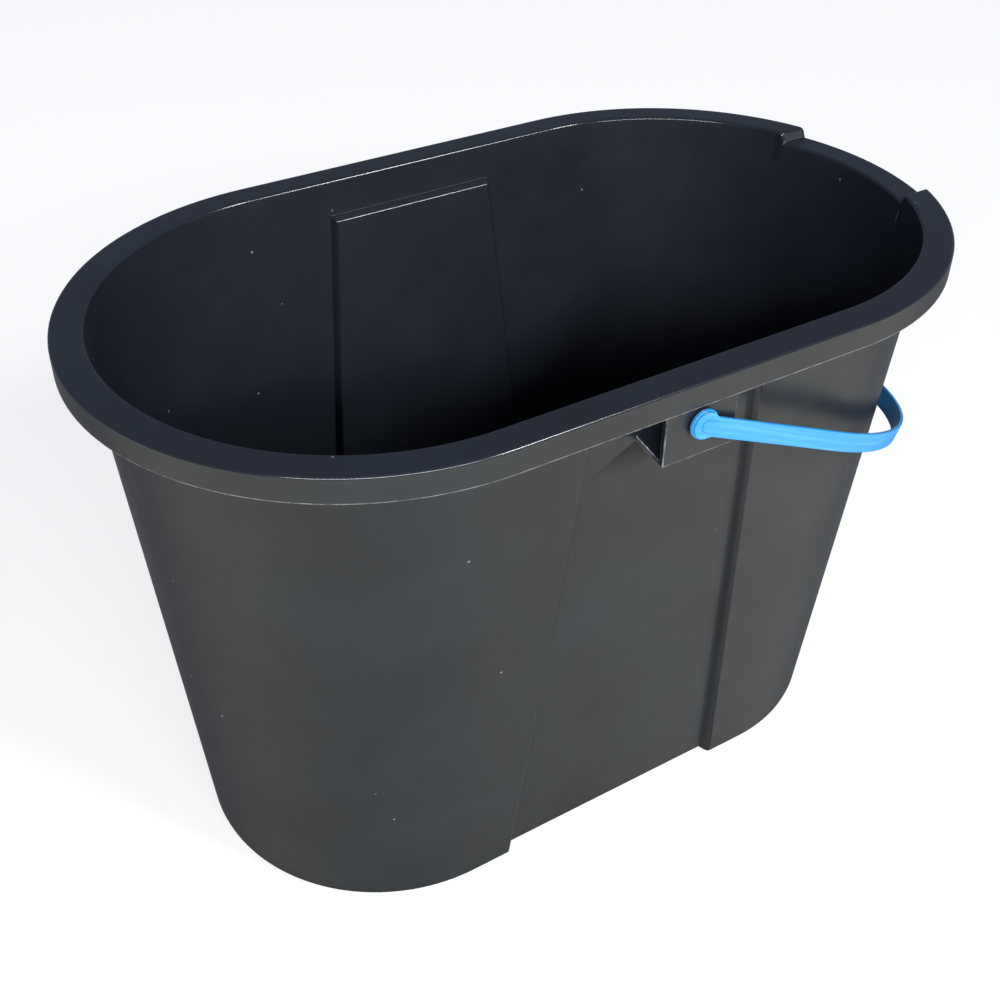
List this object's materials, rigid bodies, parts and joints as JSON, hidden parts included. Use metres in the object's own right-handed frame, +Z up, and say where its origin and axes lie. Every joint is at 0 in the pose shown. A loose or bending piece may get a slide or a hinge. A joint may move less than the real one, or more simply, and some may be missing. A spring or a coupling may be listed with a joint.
{
  "type": "florist bucket",
  "caption": "Deep oval-ended plastic flower bucket with tapered walls, a downturned rim with a pouring notch, recessed side panels and a swinging strap bail.",
  "frame": {"origin": "centre of the foot ring, on the ground", "axes": "+Z up, +X along the bucket's length towards the pouring notch and the end where the bail rests, +Y across the bucket along the bail's pivot axis"},
  "size_m": [0.4999, 0.307, 0.333],
  "materials": {
    "black_polypropylene": "fine moulded satin",
    "blue_polypropylene": "moulded, softly glossy"
  },
  "bodies": {
    "bucket": {"bucket_body": "black_polypropylene"},
    "bail": {"bail_handle": "blue_polypropylene"}
  },
  "joints": [
    {"name": "bail_swing", "type": "hinge", "parent": "bucket", "child": "bail", "pos_m": [0, 0, 0.31], "axis": [0, -1, 0], "range_deg": [0, 229.6]}
  ]
}
